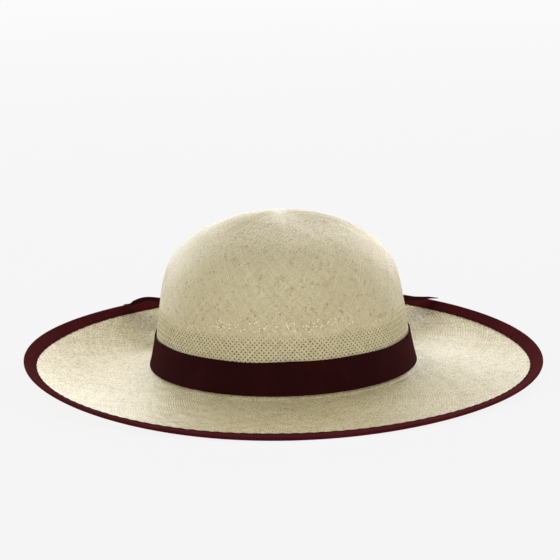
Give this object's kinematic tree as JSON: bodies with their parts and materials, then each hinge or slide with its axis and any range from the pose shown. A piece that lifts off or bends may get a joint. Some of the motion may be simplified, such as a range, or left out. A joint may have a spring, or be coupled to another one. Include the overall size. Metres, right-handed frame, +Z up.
{
  "type": "straw sun hat",
  "caption": "Wide-brimmed woven straw sun hat with a domed crown, ribbon band, bow at the back and ribbon-bound brim edge.",
  "frame": {"origin": "on the surface the hat lies on, under the middle of the head opening, which is also under the middle of the brim", "axes": "+Z up through the crown, +Y to the back of the head, where the bow is, +X to the wearer's left"},
  "size_m": [0.3396, 0.3772, 0.1077],
  "materials": {
    "straw": "woven natural straw, matt with a faint sheen",
    "ribbon": "burgundy grosgrain ribbon, matt",
    "wire": "drawn spring steel",
    "leather": "light tan leather, satin",
    "reed": "pale flexible plastic cord",
    "tape": "pale cotton tape",
    "label": "off-white woven label, blank",
    "thread": "burgundy sewing thread"
  },
  "bodies": {
    "root": {"straw_body": "straw", "hat_band": "ribbon", "bow_knot": "ribbon", "bow_loop_left": "ribbon", "bow_loop_right": "ribbon", "bow_tail_left": "ribbon", "bow_tail_right": "ribbon", "edge_binding": "ribbon", "brim_wire": "wire", "wire_sleeve": "wire", "sweatband": "leather", "reed": "reed", "reed_tape": "tape", "sweatband_bow": "tape", "size_label": "label", "band_tacks": "thread"}
  },
  "joints": []
}
